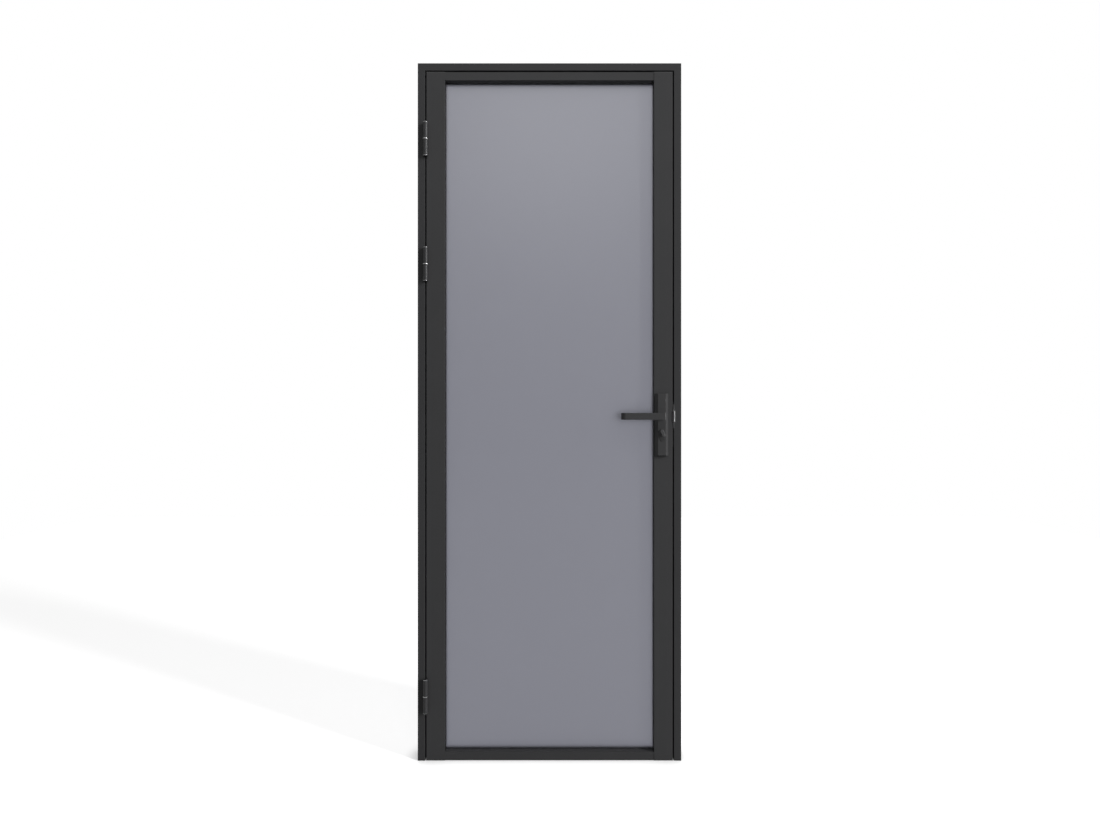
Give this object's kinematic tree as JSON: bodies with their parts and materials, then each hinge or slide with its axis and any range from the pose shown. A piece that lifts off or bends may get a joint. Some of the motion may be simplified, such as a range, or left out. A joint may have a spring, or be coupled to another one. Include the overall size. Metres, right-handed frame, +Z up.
{
  "type": "glass door",
  "caption": "Single hinged door leaf of satin glass in slim dark metal profiles, with its frame, bevelled backplates, return lever handles, and a latch and deadbolt lock.",
  "frame": {"origin": "floor level, under the middle of the frame's width, at half the leaf's thickness", "axes": "+X to the right seen from the hinge side, towards the strike jamb; +Y through the door, away from the side it opens to; +Z up"},
  "size_m": [0.792, 0.166, 2.096],
  "materials": {
    "profile_coat": "satin",
    "hinge_coat": "satin",
    "handle_coat": "satin",
    "bright_steel": "satin",
    "zinc_steel": "satin",
    "spring_steel": "satin",
    "bare_aluminium": "satin",
    "black_nickel": "satin",
    "satin_glass": "satin",
    "black_rubber": "matte",
    "black_plastic": "matte",
    "brush_fibre": "matte"
  },
  "bodies": {
    "frame": {"frame_head": "profile_coat", "frame_hinge_jamb": "profile_coat", "frame_strike_jamb": "profile_coat", "frame_corner_cleats": "bare_aluminium", "frame_seal": "black_rubber", "frame_fixing_caps": "black_plastic", "strike_plate": "bright_steel", "strike_dust_box": "black_plastic", "strike_screws": "zinc_steel", "hinge_pins": "zinc_steel", "hinge_washers": "bright_steel", "hinge_lower_caps": "bright_steel", "hinge_frame_screws": "zinc_steel", "hinge_top_frame_half": "hinge_coat", "hinge_middle_frame_half": "hinge_coat", "hinge_bottom_frame_half": "hinge_coat"},
    "leaf": {"hinge_stile": "profile_coat", "lock_stile": "profile_coat", "top_rail": "profile_coat", "bottom_rail": "profile_coat", "rail_screws": "zinc_steel", "stile_end_caps": "black_plastic", "bead_top": "profile_coat", "bead_bottom": "profile_coat", "bead_hinge_side": "profile_coat", "bead_lock_side": "profile_coat", "glass_pane": "satin_glass", "front_gasket": "black_rubber", "rear_gasket": "black_rubber", "glass_setting_blocks": "black_plastic", "bottom_brush": "brush_fibre", "hinge_upper_caps": "bright_steel", "hinge_leaf_screws": "zinc_steel", "hinge_top_leaf_half": "hinge_coat", "hinge_middle_leaf_half": "hinge_coat", "hinge_bottom_leaf_half": "hinge_coat", "lock_case": "zinc_steel", "lock_case_cover": "zinc_steel", "lock_forend": "bright_steel", "forend_screws": "zinc_steel", "latch_spring": "spring_steel", "lever_spring": "spring_steel", "cylinder_body": "black_nickel", "key_plug": "black_nickel", "cylinder_screw": "zinc_steel", "front_backplate": "handle_coat", "rear_backplate": "handle_coat", "plate_bolts": "zinc_steel", "front_lever_bush": "black_plastic", "rear_lever_bush": "black_plastic"},
    "lever": {"front_lever": "handle_coat", "rear_lever": "handle_coat", "spindle": "zinc_steel", "follower": "zinc_steel", "lever_grub_screws": "zinc_steel"},
    "latch": {"latch_bolt": "bright_steel"},
    "deadbolt": {"deadbolt": "bright_steel"},
    "thumbturn": {"thumbturn": "handle_coat", "cylinder_cam": "zinc_steel"}
  },
  "joints": [
    {"name": "leaf_swing", "type": "hinge", "parent": "frame", "child": "leaf", "pos_m": [-0.3713, -0.0335, 0], "axis": [0, 0, -1], "range_deg": [0, 170]},
    {"name": "lever_turn", "type": "hinge", "parent": "leaf", "child": "lever", "pos_m": [0.336, 0, 1.035], "axis": [0, -1, 0], "range_deg": [0, 40], "stiffness_Nm_per_rad": 1, "springref_deg": -40.11, "deforming": ["lever_spring"]},
    {"name": "latch_slide", "type": "slide", "parent": "leaf", "child": "latch", "axis": [-1, 0, 0], "range_m": [0, 0.012], "deforming": ["latch_spring"]},
    {"name": "thumbturn_turn", "type": "hinge", "parent": "leaf", "child": "thumbturn", "pos_m": [0.336, 0, 0.985], "axis": [0, 1, 0], "range_deg": [0, 90]},
    {"name": "deadbolt_slide", "type": "slide", "parent": "leaf", "child": "deadbolt", "axis": [1, 0, 0], "range_m": [0, 0.012]}
  ],
  "couplings": [
    {"joint": "latch_slide", "follows": "lever_turn", "m_per_rad": 0.01718},
    {"joint": "thumbturn_turn", "follows": "deadbolt_slide", "rad_per_m": 130.89}
  ]
}
